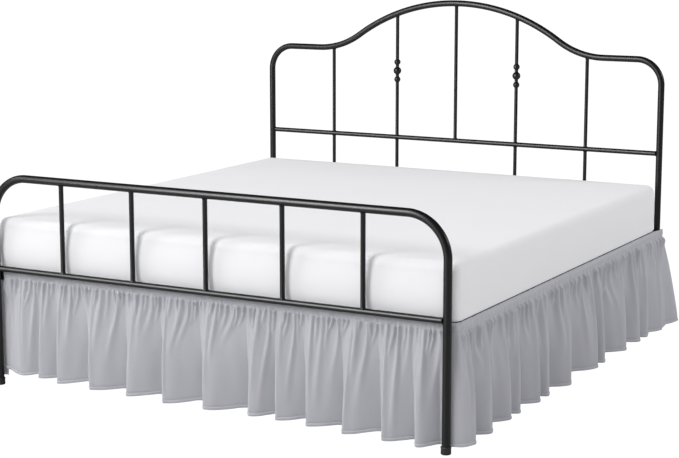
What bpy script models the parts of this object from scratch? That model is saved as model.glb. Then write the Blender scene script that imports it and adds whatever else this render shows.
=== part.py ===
"""A gathered bed skirt on a metal bed with a plain mattress.

Metres, +Z up. The floor is z = 0, +Y runs from the footboard to the headboard, and the origin lies on the
floor under the middle of the whole object. Dimensions along Y are measured from the plane of the footboard,
and every object is moved back by MIDDLE_Y at the end.
"""
import math

import bmesh
import bpy
from mathutils import Vector

# --- Bed ------------------------------------------------------------------------------------------------
FOOT_POSTS = 1.90            # between the centres of the two foot posts
HEAD_POSTS = 1.936           # between the centres of the two head posts
BED_LENGTH = 2.096           # from the footboard's plane to the headboard's
CAP_RADIUS = 0.0185
CAP_HEIGHT = 0.027
CAP_ROUNDING = 0.003

FOOT_TUBE = 0.015            # radii of the tubes
FOOT_TOP_Z = 0.811
FOOT_CORNER = 0.15           # bend radius at the hoop's two top corners
FOOT_RAIL_TUBE = 0.010
FOOT_RAIL_Z = 0.457
FOOT_UPRIGHT_TUBE = 0.008
FOOT_UPRIGHTS = 5

HEAD_TUBE = 0.013
HEAD_SHOULDER_Z = 1.18
HEAD_PEAK_Z = 1.40
HEAD_CORNER = 0.11           # bend radius at the two outer corners
HEAD_ARCH_HALF = 0.705       # half width of the raised middle
HEAD_CROWN_RADIUS = 0.87     # bend radius over the middle of the arch
CROSS_TUBE = 0.010
CROSS_BAR_Z = 0.777
HEAD_LOW_RAIL_Z = 0.425
HEAD_UPRIGHT_TUBE = 0.0065
HEAD_OUTER_UPRIGHT_X = 0.630
HEAD_INNER_UPRIGHT_X = 0.297
KNOT_Z = 1.085               # middle ball of each knot
KNOT_PITCH = 0.040
KNOT_LARGE = 0.0180          # ball radii
KNOT_SMALL = 0.0145

RAIL_WIDTH = 0.028
RAIL_HEIGHT = 0.036
RAIL_OUTER_X = 0.979
RAIL_START_Y = 0.0525
FOOT_CROSS_RAIL_Y = 0.0255
HOOK_THICKNESS = 0.006
HOOK_X = 0.943               # outer face of the plate that hooks the side rail to the foot post
HOOK_END_Y = 0.150
SLAT_WIDTH = 0.070
SLAT_THICKNESS = 0.018
SLATS = 9
CENTRE_RAIL_WIDTH = 0.040
CENTRE_RAIL_HEIGHT = 0.030
CENTRE_LEG_TUBE = 0.015
CENTRE_LEGS_Y = (0.72, 1.42)

# --- Mattress -------------------------------------------------------------------------------------------
MATTRESS_WIDTH = 1.944
MATTRESS_LENGTH = 2.031
MATTRESS_HEIGHT = 0.200
MATTRESS_FOOT_Y = 0.029
MATTRESS_Z = 0.447
MATTRESS_CORNER = 0.040      # seen from above
MATTRESS_TOP_EDGE = 0.034
MATTRESS_LOW_EDGE = 0.004

# --- Cloth ----------------------------------------------------------------------------------------------
CLOTH = 0.002                # thickness of band and ruffle
BAND_HALF_WIDTH = 0.983      # band's middle line at the two sides, just outside the head posts
BAND_FOOT_Y = 0.021          # band's middle line across the foot
BAND_CORNER = 0.035
BAND_END_Y = 2.125
BAND_TOP_Z = 0.443
BAND_HEIGHT = 0.032
HEM_Z = 0.032
SPLIT_FOOT = 0.934           # runs along the band where the cloth parts for the hook
SPLIT_SIDE = 0.946
FOOT_EDGE_OUT = 0.004        # how far the foot ruffle's two edges stand in and out at the hem
FREE_EDGE_SPREAD = 0.085     # how far the hem's free end spreads towards the head end
FREE_EDGE_OUT = 0.055

GAP = 0.0003                 # between pieces that meet

# A fold's crest hangs at "place" along the band from the middle of the foot. At the hem the crest stands
# "reach" out of the band and the hollow after it stands "hollow" out. On its way down from the band the
# crest wanders sideways by "wander".
FOLD_COLUMNS = ("place", "reach", "hollow", "wander")
FOOT_FOLDS = (
    (-0.826, 0.036, 0.000, 0.010),
    (-0.750, 0.036, -0.003, -0.006),
    (-0.654, 0.044, -0.014, 0.008),
    (-0.506, 0.051, -0.016, 0.014),
    (-0.342, 0.052, -0.015, -0.010),
    (-0.180, 0.053, -0.018, 0.012),
    (-0.006, 0.055, -0.020, 0.006),
    (0.180, 0.049, -0.005, -0.012),
    (0.296, 0.043, -0.010, 0.008),
    (0.428, 0.047, -0.012, 0.010),
    (0.572, 0.049, -0.014, -0.012),
    (0.726, 0.047, -0.008, 0.010),
    (0.848, 0.042, -0.010, 0.006),
)
RIGHT_FOLDS = (
    (1.028, 0.034, -0.018, 0.004),
    (1.160, 0.040, -0.024, 0.008),
    (1.334, 0.034, -0.006, 0.012),
    (1.408, 0.030, -0.018, -0.006),
    (1.556, 0.035, -0.016, 0.010),
    (1.674, 0.038, -0.026, 0.006),
    (1.874, 0.046, -0.032, -0.012),
    (2.174, 0.045, -0.012, 0.014),
    (2.266, 0.040, -0.030, 0.008),
    (2.502, 0.046, -0.030, -0.008),
    (2.700, 0.040, -0.008, 0.012),
    (2.804, 0.034, -0.022, 0.006),
    (2.962, 0.040, 0.026, 0.014),
)
LEFT_FOLDS = (
    (1.032, 0.034, -0.016, 0.004),
    (1.182, 0.042, -0.022, -0.010),
    (1.299, 0.032, -0.014, 0.008),
    (1.455, 0.040, -0.026, 0.012),
    (1.649, 0.046, -0.024, -0.008),
    (1.765, 0.034, -0.014, 0.006),
    (1.911, 0.038, -0.022, 0.010),
    (2.073, 0.044, -0.028, -0.012),
    (2.275, 0.046, -0.020, 0.012),
    (2.389, 0.034, -0.016, 0.008),
    (2.561, 0.042, -0.028, -0.006),
    (2.771, 0.044, -0.022, 0.012),
    (2.960, 0.040, 0.026, 0.014),
)
FOOT_LEAN = 0.64             # share of the way to the next crest at which the hollow lies
SIDE_LEAN = 0.50
FLANK_STEPS = 5              # columns from a crest to its hollow
DOWN_STEPS = (0.0, 0.07, 0.20, 0.40, 0.70, 1.0)
GATHER_DEPTH = 0.007         # how far the small gathers stand out of the band's line
GATHER_FULL = 0.07           # share of the drop where the gathers are deepest
GATHER_END = 0.50            # share of the drop where they have run out
GATHER_AT_BAND = 0.35

RUFFLE_TOP_Z = BAND_TOP_Z - BAND_HEIGHT - GAP
STRAIGHT = BAND_HALF_WIDTH - BAND_CORNER
ARC = BAND_CORNER * math.pi / 2
BAND_END = STRAIGHT + ARC + BAND_END_Y - BAND_FOOT_Y - BAND_CORNER
FREE_EDGE_Y = BAND_END_Y + FREE_EDGE_SPREAD
FRONT_Y = BAND_FOOT_Y - max(fold[1] for fold in FOOT_FOLDS) - CLOTH / 2
MIDDLE_Y = (FREE_EDGE_Y + FRONT_Y) / 2

TUBE_SIDES = 12
ROD_SIDES = 10


# --- Making objects -------------------------------------------------------------------------------------
def material(name, colour, roughness, metallic):
    made = bpy.data.materials.new(name)
    made.use_nodes = True
    shader = made.node_tree.nodes["Principled BSDF"]
    shader.inputs["Base Color"].default_value = (*colour, 1.0)
    shader.inputs["Roughness"].default_value = roughness
    shader.inputs["Metallic"].default_value = metallic
    return made


def add_object(name, bm, finish, smooth_below=40.0):
    """Make an object of the mesh, moved so that the origin lies under the middle of the whole."""
    bmesh.ops.recalc_face_normals(bm, faces=bm.faces)
    mesh = bpy.data.meshes.new(name)
    bm.to_mesh(mesh)
    bm.free()
    mesh.materials.append(finish)
    mesh.shade_smooth()
    mesh.set_sharp_from_angle(angle=math.radians(smooth_below))
    made = bpy.data.objects.new(name, mesh)
    made.location = (0.0, -MIDDLE_Y, 0.0)
    bpy.context.collection.objects.link(made)
    return made


def rings_to_solid(rings):
    """Join rings of points, each with as many points as the next, into one closed solid."""
    bm = bmesh.new()
    loops = [[bm.verts.new(point) for point in ring] for ring in rings]
    for low, high in zip(loops, loops[1:]):
        for index in range(len(low)):
            after = (index + 1) % len(low)
            bm.faces.new((low[index], low[after], high[after], high[index]))
    bm.faces.new(list(reversed(loops[0])))
    bm.faces.new(loops[-1])
    return bm


def box(name, low, high, finish):
    corners = [(low.x, low.y), (high.x, low.y), (high.x, high.y), (low.x, high.y)]
    rings = [[Vector((x, y, z)) for x, y in corners] for z in (low.z, high.z)]
    return add_object(name, rings_to_solid(rings), finish)


def tube(name, path, radii, sides, finish):
    """A round bar along a path that stays in a plane of constant y, with a radius for each point."""
    rings = []
    for index, point in enumerate(path):
        before = path[max(index - 1, 0)]
        after = path[min(index + 1, len(path) - 1)]
        ahead = (after - before).normalized()
        across = Vector((0.0, 1.0, 0.0))
        outward = ahead.cross(across)
        turns = (2 * math.pi * step / sides for step in range(sides))
        rings.append([point + radii[index] * (math.cos(a) * outward + math.sin(a) * across) for a in turns])
    return add_object(name, rings_to_solid(rings), finish)


def bar(name, start, end, radius, sides, finish):
    return tube(name, [Vector(start), Vector(end)], [radius, radius], sides, finish)


def arc_points(centre_x, centre_z, radius, start, end, steps):
    """Points on an arc in (x, z), angles in radians from +X towards +Z."""
    angles = (start + (end - start) * step / steps for step in range(steps + 1))
    return [(centre_x + radius * math.cos(a), centre_z + radius * math.sin(a)) for a in angles]


# --- Footboard and headboard ----------------------------------------------------------------------------
def mirrored_path(half, y):
    """A path up one side, over and down the other, from its right half in (x, z), floor to middle."""
    left = [(-x, z) for x, z in half]
    right = [point for point in reversed(half) if point[0] > 1e-6]
    return [Vector((x, y, z)) for x, z in left + right]


def foot_hoop_half():
    side = FOOT_POSTS / 2
    bend = arc_points(side - FOOT_CORNER, FOOT_TOP_Z - FOOT_CORNER, FOOT_CORNER, 0.0, math.pi / 2, 8)
    return [(side, CAP_HEIGHT + GAP)] + bend


def arch_shape():
    """Bend angle and the two bend radii of the S-curve from the shoulder up to the crown."""
    rise = HEAD_PEAK_Z - HEAD_SHOULDER_Z
    angle = 2 * math.atan(rise / HEAD_ARCH_HALF)
    foot_radius = HEAD_ARCH_HALF / math.sin(angle) - HEAD_CROWN_RADIUS
    return angle, foot_radius


def head_arch_half():
    side = HEAD_POSTS / 2
    angle, foot_radius = arch_shape()
    corner = arc_points(side - HEAD_CORNER, HEAD_SHOULDER_Z - HEAD_CORNER, HEAD_CORNER, 0.0, math.pi / 2, 7)
    foot = arc_points(HEAD_ARCH_HALF, HEAD_SHOULDER_Z + foot_radius, foot_radius,
                      -math.pi / 2, -math.pi / 2 - angle, 5)
    crown = arc_points(0.0, HEAD_PEAK_Z - HEAD_CROWN_RADIUS, HEAD_CROWN_RADIUS,
                       math.pi / 2 - angle, math.pi / 2, 7)
    return [(side, CAP_HEIGHT + GAP)] + corner + foot + crown[1:]


def arch_underside(x):
    """Height at which an upright ends, just under the sloping arch tube."""
    path = head_arch_half()
    heights = []
    for edge in (x - HEAD_UPRIGHT_TUBE, x + HEAD_UPRIGHT_TUBE):
        for (x_a, z_a), (x_b, z_b) in zip(path, path[1:]):
            if x_b <= abs(edge) < x_a:
                slope = (z_b - z_a) / (x_b - x_a)
                heights.append(z_a + slope * (abs(edge) - x_a) - HEAD_TUBE * math.sqrt(1 + slope ** 2))
    return min(heights) - GAP


def knot_profile():
    """Heights and radii of three stacked balls on an upright, from below."""
    profile = []
    for height, radius in ((-KNOT_PITCH, KNOT_SMALL), (0.0, KNOT_LARGE), (KNOT_PITCH, KNOT_SMALL)):
        half = math.sqrt(radius ** 2 - HEAD_UPRIGHT_TUBE ** 2)
        for share in (-1.0, -0.72, -0.3, 0.3, 0.72, 1.0):
            profile.append((KNOT_Z + height + share * half, math.sqrt(radius ** 2 - (share * half) ** 2)))
    return profile


def build_footboard(black):
    hoop = mirrored_path(foot_hoop_half(), 0.0)
    tube("footboard_hoop", hoop, [FOOT_TUBE] * len(hoop), TUBE_SIDES, black)
    reach = FOOT_POSTS / 2 - FOOT_TUBE - GAP
    left, right = (-reach, 0, FOOT_RAIL_Z), (reach, 0, FOOT_RAIL_Z)
    bar("footboard_low_rail", left, right, FOOT_RAIL_TUBE, ROD_SIDES, black)
    low = FOOT_RAIL_Z + FOOT_RAIL_TUBE + GAP
    high = FOOT_TOP_Z - FOOT_TUBE - GAP
    for index in range(FOOT_UPRIGHTS):
        x = FOOT_POSTS * ((index + 1) / (FOOT_UPRIGHTS + 1) - 0.5)
        bar(f"footboard_upright_{index + 1}", (x, 0, low), (x, 0, high), FOOT_UPRIGHT_TUBE, ROD_SIDES, black)


def build_headboard(black):
    y = BED_LENGTH
    arch = mirrored_path(head_arch_half(), y)
    tube("headboard_arch", arch, [HEAD_TUBE] * len(arch), TUBE_SIDES, black)
    reach = HEAD_POSTS / 2 - HEAD_TUBE - GAP
    for name, z in (("headboard_cross_bar", CROSS_BAR_Z), ("headboard_low_rail", HEAD_LOW_RAIL_Z)):
        bar(name, (-reach, y, z), (reach, y, z), CROSS_TUBE, ROD_SIDES, black)
    over_bar = CROSS_BAR_Z + CROSS_TUBE + GAP
    places = (-HEAD_OUTER_UPRIGHT_X, -HEAD_INNER_UPRIGHT_X, 0.0, HEAD_INNER_UPRIGHT_X, HEAD_OUTER_UPRIGHT_X)
    for index, x in enumerate(places):
        profile = [(over_bar, HEAD_UPRIGHT_TUBE), (arch_underside(x), HEAD_UPRIGHT_TUBE)]
        if abs(x) == HEAD_INNER_UPRIGHT_X:
            profile[1:1] = knot_profile()
        path = [Vector((x, y, z)) for z, _ in profile]
        radii = [radius for _, radius in profile]
        tube(f"headboard_upright_{index + 1}", path, radii, ROD_SIDES, black)
        if x:
            low = (x, y, HEAD_LOW_RAIL_Z + CROSS_TUBE + GAP)
            high = (x, y, CROSS_BAR_Z - CROSS_TUBE - GAP)
            bar(f"headboard_lower_upright_{index + 1}", low, high, HEAD_UPRIGHT_TUBE, ROD_SIDES, black)


def build_foot_caps(plastic):
    profile = [(0.0, CAP_RADIUS - CAP_ROUNDING), (CAP_ROUNDING, CAP_RADIUS),
               (CAP_HEIGHT - CAP_ROUNDING, CAP_RADIUS), (CAP_HEIGHT, CAP_RADIUS - CAP_ROUNDING)]
    for end, y, spacing in (("foot", 0.0, FOOT_POSTS), ("head", BED_LENGTH, HEAD_POSTS)):
        for side, sign in (("left", -1), ("right", 1)):
            path = [Vector((sign * spacing / 2, y, z)) for z, _ in profile]
            tube(f"{end}_cap_{side}", path, [radius for _, radius in profile], 16, plastic)


# --- Deck under the mattress ----------------------------------------------------------------------------
def build_deck(black):
    top = MATTRESS_Z - GAP
    low = top - RAIL_HEIGHT
    head_end = BED_LENGTH - HEAD_TUBE - GAP
    hook_start = math.sqrt(FOOT_TUBE ** 2 - (FOOT_POSTS / 2 - HOOK_X) ** 2) + GAP
    hook_inner = HOOK_X - HOOK_THICKNESS
    for side, sign in (("left", -1), ("right", 1)):
        x_low, x_high = sorted((sign * (HOOK_X + GAP), sign * RAIL_OUTER_X))
        box(f"side_rail_{side}", Vector((x_low, RAIL_START_Y, low)), Vector((x_high, head_end, top)), black)
        x_low, x_high = sorted((sign * hook_inner, sign * HOOK_X))
        box(f"rail_hook_{side}", Vector((x_low, hook_start, low)), Vector((x_high, HOOK_END_Y, top)), black)
    cross = hook_inner - GAP
    cross_end = FOOT_CROSS_RAIL_Y + RAIL_WIDTH
    box("foot_cross_rail", Vector((-cross, FOOT_CROSS_RAIL_Y, low)), Vector((cross, cross_end, top)), black)

    slat_low = top - SLAT_THICKNESS
    rail_top = slat_low - GAP
    half = CENTRE_RAIL_WIDTH / 2
    rail_low = rail_top - CENTRE_RAIL_HEIGHT
    end = BED_LENGTH - CROSS_TUBE - GAP
    box("centre_rail", Vector((-half, cross_end + GAP, rail_low)), Vector((half, end, rail_top)), black)
    first = HOOK_END_Y + GAP
    last = MATTRESS_FOOT_Y + MATTRESS_LENGTH - SLAT_WIDTH
    for index in range(SLATS):
        y = first + (last - first) * index / (SLATS - 1)
        box(f"slat_{index + 1}", Vector((-HOOK_X, y, slat_low)), Vector((HOOK_X, y + SLAT_WIDTH, top)), black)
    for index, y in enumerate(CENTRE_LEGS_Y):
        bar(f"centre_leg_{index + 1}", (0, y, 0), (0, y, rail_low - GAP), CENTRE_LEG_TUBE, TUBE_SIDES, black)


# --- Mattress -------------------------------------------------------------------------------------------
def rounded_outline(half_x, half_y, corner, steps):
    """Points round a rectangle with round corners, about its middle."""
    points = []
    for quarter, (side_x, side_y) in enumerate(((1, 1), (-1, 1), (-1, -1), (1, -1))):
        centre = (side_x * (half_x - corner), side_y * (half_y - corner))
        start = quarter * math.pi / 2
        points += arc_points(*centre, corner, start, start + math.pi / 2, steps)
    return points


def build_mattress(white):
    half_x = MATTRESS_WIDTH / 2
    half_y = MATTRESS_LENGTH / 2
    top = MATTRESS_Z + MATTRESS_HEIGHT
    levels = [(MATTRESS_Z, MATTRESS_LOW_EDGE), (MATTRESS_Z + MATTRESS_LOW_EDGE, 0.0)]
    for step in range(6):
        angle = step / 5 * math.pi / 2
        inset = MATTRESS_TOP_EDGE * (1 - math.cos(angle))
        levels.append((top - MATTRESS_TOP_EDGE * (1 - math.sin(angle)), inset))
    rings = []
    for z, inset in levels:
        outline = rounded_outline(half_x - inset, half_y - inset, MATTRESS_CORNER - inset, 6)
        rings.append([Vector((x, y + MATTRESS_FOOT_Y + half_y, z)) for x, y in outline])
    add_object("mattress", rings_to_solid(rings), white)


# --- Cloth ----------------------------------------------------------------------------------------------
def plan_point(run, out):
    """Where a run along the band from the middle of the foot lies in plan, standing out of the band."""
    side = -1.0 if run < 0 else 1.0
    run = abs(run)
    if run <= STRAIGHT:
        return Vector((side * run, BAND_FOOT_Y - out))
    if run <= STRAIGHT + ARC:
        turn = (run - STRAIGHT) / BAND_CORNER
        reach = BAND_CORNER + out
        return Vector((side * (STRAIGHT + reach * math.sin(turn)),
                       BAND_FOOT_Y + BAND_CORNER - reach * math.cos(turn)))
    return Vector((side * (BAND_HALF_WIDTH + out), BAND_FOOT_Y + BAND_CORNER + run - STRAIGHT - ARC))


def turning_points(folds, start, end, lean):
    """Crests and hollows of a panel, in order, as (place at the hem, place at the band, out at the hem).

    start and end are the panel's own two ends, in the same form.
    """
    rows = [dict(zip(FOLD_COLUMNS, fold)) for fold in folds]
    turns = [start]
    for row, after in zip(rows, rows[1:] + [None]):
        top = row["place"] - row["wander"]
        after_hem, after_top = (after["place"], after["place"] - after["wander"]) if after else end[:2]
        turns.append((row["place"], top, row["reach"]))
        turns.append((row["place"] + lean * (after_hem - row["place"]), (top + after_top) / 2, row["hollow"]))
    return turns + [end]


def mirror_turns(turns):
    return [(-hem, -top, out) for hem, top, out in reversed(turns)]


def gather_strength(down):
    """How deep the small gathers are at a share of the drop."""
    if down < GATHER_FULL:
        return GATHER_AT_BAND + (1 - GATHER_AT_BAND) * down / GATHER_FULL
    return max(0.0, 1 - (down - GATHER_FULL) / (GATHER_END - GATHER_FULL)) ** 1.5


def ruffle_point(turns, column, down):
    """Plan point of a panel's middle surface at a column and a share of the drop."""
    flank = min(column // FLANK_STEPS, len(turns) - 2)
    share = column / FLANK_STEPS - flank
    (hem_a, top_a, out_a), (hem_b, top_b, out_b) = turns[flank], turns[flank + 1]
    hem = hem_a + (hem_b - hem_a) * share
    top = top_a + (top_b - top_a) * share
    spread = down ** 1.3
    fold = out_a + (out_b - out_a) * (0.5 - 0.5 * math.cos(math.pi * share))
    growth = 1 - (1 - down) ** 1.3
    gather = GATHER_DEPTH * gather_strength(down) * (0.5 - 0.5 * math.cos(2 * math.pi * share))
    return plan_point(top + (hem - top) * spread, fold * growth + gather)


def sheet_solid(columns, heights):
    """A solid of the cloth's thickness about a grid of plan points, a column along the cloth at a time."""
    outer, inner = [], []
    for index, column in enumerate(columns):
        before = columns[max(index - 1, 0)]
        after = columns[min(index + 1, len(columns) - 1)]
        faces = ([], [])
        for point, near, far, z in zip(column, before, after, heights):
            along = (far - near).normalized()
            outward = Vector((along.y, -along.x)) * CLOTH / 2
            faces[0].append(Vector((*(point + outward), z)))
            faces[1].append(Vector((*(point - outward), z)))
        outer.append(faces[0])
        inner.append(faces[1])
    rings = [front + list(reversed(back)) for front, back in zip(outer, inner)]
    return sheet_from_rings(rings, len(heights))


def sheet_from_rings(rings, rows):
    """Close a sheet of rings that each run down its outer face and up its inner one.

    Both faces are cut into triangles along the same diagonals, so that the thin sheet can't cross itself.
    """
    bm = bmesh.new()
    loops = [[bm.verts.new(point) for point in ring] for ring in rings]
    for near, far in zip(loops, loops[1:]):
        for index in range(len(near)):
            after = (index + 1) % len(near)
            if index < rows:
                bm.faces.new((near[index], near[after], far[after]))
                bm.faces.new((near[index], far[after], far[index]))
            else:
                bm.faces.new((near[index], near[after], far[index]))
                bm.faces.new((near[after], far[after], far[index]))
    for loop in (loops[0], loops[-1]):
        for row in range(rows - 1):
            bm.faces.new((loop[row], loop[row + 1], loop[-row - 2], loop[-row - 1]))
    return bm


def build_ruffle(name, turns, cloth):
    last = FLANK_STEPS * (len(turns) - 1)
    columns = [[ruffle_point(turns, column, down) for down in DOWN_STEPS] for column in range(last + 1)]
    heights = [RUFFLE_TOP_Z + (HEM_Z - RUFFLE_TOP_Z) * down for down in DOWN_STEPS]
    add_object(name, sheet_solid(columns, heights), cloth, smooth_below=60.0)


def build_band(name, start, end, cloth):
    corner_runs = [STRAIGHT + ARC * step / 6 for step in range(7)]
    stops = [-run for run in reversed(corner_runs)] + corner_runs
    runs = [start] + [run for run in stops if start < run < end] + [end]
    columns = [[plan_point(run, 0.0)] * 2 for run in runs]
    add_object(name, sheet_solid(columns, (BAND_TOP_Z, BAND_TOP_Z - BAND_HEIGHT)), cloth)


def build_skirt(cloth):
    free_edge = (BAND_END + FREE_EDGE_SPREAD, BAND_END, FREE_EDGE_OUT)
    side_start = (SPLIT_SIDE, SPLIT_SIDE, 0.0)
    foot_start = (-SPLIT_FOOT, -SPLIT_FOOT, -FOOT_EDGE_OUT)
    foot_end = (SPLIT_FOOT, SPLIT_FOOT, FOOT_EDGE_OUT)
    foot = turning_points(FOOT_FOLDS, foot_start, foot_end, FOOT_LEAN)
    right = turning_points(RIGHT_FOLDS, side_start, free_edge, SIDE_LEAN)
    left = mirror_turns(turning_points(LEFT_FOLDS, side_start, free_edge, SIDE_LEAN))
    build_ruffle("ruffle_foot", foot, cloth)
    build_ruffle("ruffle_right", right, cloth)
    build_ruffle("ruffle_left", left, cloth)
    build_band("band_foot", -SPLIT_FOOT, SPLIT_FOOT, cloth)
    build_band("band_right", SPLIT_SIDE, BAND_END, cloth)
    build_band("band_left", -BAND_END, -SPLIT_SIDE, cloth)


def main():
    for old in list(bpy.data.objects):
        bpy.data.objects.remove(old, do_unlink=True)
    black = material("black_metal", (0.012, 0.012, 0.013), 0.38, 0.0)
    plastic = material("black_plastic", (0.02, 0.02, 0.02), 0.60, 0.0)
    white = material("mattress_cloth", (0.86, 0.86, 0.88), 0.85, 0.0)
    grey = material("grey_cloth", (0.40, 0.41, 0.45), 0.90, 0.0)
    build_footboard(black)
    build_headboard(black)
    build_foot_caps(plastic)
    build_deck(black)
    build_mattress(white)
    build_skirt(grey)


main()
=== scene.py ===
"""Looks of a gathered bed skirt on a metal bed with a plain mattress.

Metres, +Z up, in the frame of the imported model. Places along Y are measured from the plane of the footboard,
and FOOTBOARD_Y, read from the frame, puts them in their place. A "run" is measured along the band from the
middle of the foot, positive to the right. "Down" is a share of the ruffle's drop, from 0 at the band to 1 at
the hem, and "out" is how far the cloth stands out of the band's middle line.
"""
import math
import random
from typing import NamedTuple

import bpy
import numpy as np
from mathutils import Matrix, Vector


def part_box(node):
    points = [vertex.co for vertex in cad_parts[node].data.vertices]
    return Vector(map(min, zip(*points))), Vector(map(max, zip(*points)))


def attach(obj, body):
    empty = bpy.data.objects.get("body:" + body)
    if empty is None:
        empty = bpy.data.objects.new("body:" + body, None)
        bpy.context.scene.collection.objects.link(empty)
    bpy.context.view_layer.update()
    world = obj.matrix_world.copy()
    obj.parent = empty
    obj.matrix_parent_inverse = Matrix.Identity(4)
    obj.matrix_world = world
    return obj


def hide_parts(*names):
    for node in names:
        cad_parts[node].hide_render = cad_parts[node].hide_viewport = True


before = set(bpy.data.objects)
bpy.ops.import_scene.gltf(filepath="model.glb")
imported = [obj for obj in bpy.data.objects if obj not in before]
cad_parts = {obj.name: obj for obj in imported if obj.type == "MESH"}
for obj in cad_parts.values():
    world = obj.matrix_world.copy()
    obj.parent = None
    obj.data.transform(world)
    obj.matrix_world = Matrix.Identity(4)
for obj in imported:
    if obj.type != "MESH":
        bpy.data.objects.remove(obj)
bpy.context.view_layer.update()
SEAM_RISE = 0.007            # how far the seam lies above the top of the ruffles' solids


def middle_of(node):
    low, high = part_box(node)
    return (low + high) / 2


# --- Sizes read from the frame ---
FOOTBOARD_Y = middle_of("footboard_low_rail").y
HEADBOARD_Y = middle_of("headboard_cross_bar").y - FOOTBOARD_Y
FOOT_POSTS = 2 * middle_of("foot_cap_right").x       # between the centres of two posts
HEAD_POSTS = 2 * middle_of("head_cap_right").x
CAP_LOW, CAP_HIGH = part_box("foot_cap_right")
CAP_HEIGHT = CAP_HIGH.z
CAP_RADIUS = (CAP_HIGH.x - CAP_LOW.x) / 2
FOOT_RAIL_Z = middle_of("footboard_low_rail").z
CROSS_BAR_Z = middle_of("headboard_cross_bar").z
HEAD_LOW_RAIL_Z = middle_of("headboard_low_rail").z
MATTRESS_LOW, MATTRESS_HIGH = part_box("mattress")
BAND_LOW_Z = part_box("band_foot")[0].z + SEAM_RISE
RUFFLE_TOP_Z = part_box("ruffle_foot")[1].z + SEAM_RISE
HEM_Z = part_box("ruffle_foot")[0].z
DROP = RUFFLE_TOP_Z - HEM_Z

# --- Metal ---
FOOT_TUBE = 0.015            # radii of the tubes
FOOT_TOP_Z = 0.811
FOOT_CORNER = 0.15           # bend radius at the hoop's two top corners
FOOT_RAIL_TUBE = 0.011
FOOT_UPRIGHT_TUBE = 0.009
FOOT_UPRIGHTS = 5
HEAD_TUBE = 0.0138
HEAD_SHOULDER_Z = 1.18
HEAD_PEAK_Z = 1.40
HEAD_CORNER = 0.11           # bend radius at the two outer corners
HEAD_ARCH_HALF = 0.705       # half width of the raised middle
HEAD_CROWN_RADIUS = 0.87     # bend radius over the middle of the arch
CROSS_TUBE = 0.0105
HEAD_UPRIGHT_TUBE = 0.0078
HEAD_OUTER_UPRIGHT_X = 0.630
HEAD_INNER_UPRIGHT_X = 0.297
KNOT_Z = 1.085               # middle ball of each knot
KNOT_PITCH = 0.040
KNOT_LARGE = 0.0180          # ball radii
KNOT_SMALL = 0.0145
KNOT_STEPS = 8               # from a ball's end to its middle
RAIL_FACE_X = 0.968          # outer faces of the side rails
RAIL_EDGE = 0.004
RAIL_EDGE_STEPS = 5
WELD_LENGTH = 0.005          # fillet where one tube is welded to another
WELD_FLARE = 0.0022
WELD_PROFILE = ((0.0, 1.0), (0.35, 0.45), (0.7, 0.12), (1.0, 0.0))       # shares of the length and the flare
UPRIGHT_SEAT = 0.9           # share of a tube's radius at which an upright's end lies inside it
CAP_SOLE = 0.003             # rounding of the sole
CAP_RIM = 0.005              # height of the wider rim
CAP_EDGE = 0.0012            # chamfer at the top
TUBE_SIDES = 32
ROD_SIDES = 24
WIDE_BEND_STEPS = 24
BEND_STEPS = 20

# --- Mattress ---
MATTRESS_CORNER = 0.036
MATTRESS_TOP_CORNER = 0.004  # least corner of the rings over the top
MATTRESS_TOP_EDGE = 0.034
MATTRESS_LOW_EDGE = 0.004
MATTRESS_CROWN = 0.006
MATTRESS_SIDE_SWELL = 0.004
MATTRESS_FOOT_SWELL = 0.006  # more at the foot, where it presses on the footboard's uprights
FOOT_SWELL_SPREAD = 1.25     # above 1 that swell ends below the top
FOOT_SWELL_INSET = 0.01      # rings further in than this have none of it
TOP_RING_PITCH = 0.030
TOP_RINGS_END = 0.06         # from the middle
LOW_EDGE_STEPS = 5
WALL_STEPS = 12              # up the wall, and as many over the top edge
OUTLINE_CORNER_STEPS = 8     # round a ring of points
OUTLINE_SIDE_STEPS = 44

# --- Cloth ---
BAND_HALF_WIDTH = 0.983      # band's middle line at the two sides
BAND_FOOT_Y = 0.021          # band's middle line across the foot
BAND_CORNER = 0.035
BAND_END_Y = 2.125
SPLIT_FOOT = 0.934           # run at which the foot panel ends
SPLIT_SIDE = 0.946           # run at which a side panel begins
FREE_EDGE_SPREAD = 0.085     # how far a side panel's free edge runs past the band's end, at the hem
FREE_EDGE_OUT = 0.055
FOOT_EDGE_OUT = -0.004
OVERLAP = 0.022              # how far the panels' edges lap at the foot corners, below the rail hooks
OVERLAP_WIDTH = 0.03         # strip of a panel that moves over for it
OVERLAP_GROWS = (0.01, 0.09)  # shares of the drop from which it grows, and over which
STRAIGHT = BAND_HALF_WIDTH - BAND_CORNER
ARC = BAND_CORNER * math.pi / 2
BAND_END = STRAIGHT + ARC + BAND_END_Y - BAND_FOOT_Y - BAND_CORNER
FLAT_WIDTHS = {"foot": 2.45, "side": 2.85}       # of the ruffles before they are gathered

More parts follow.
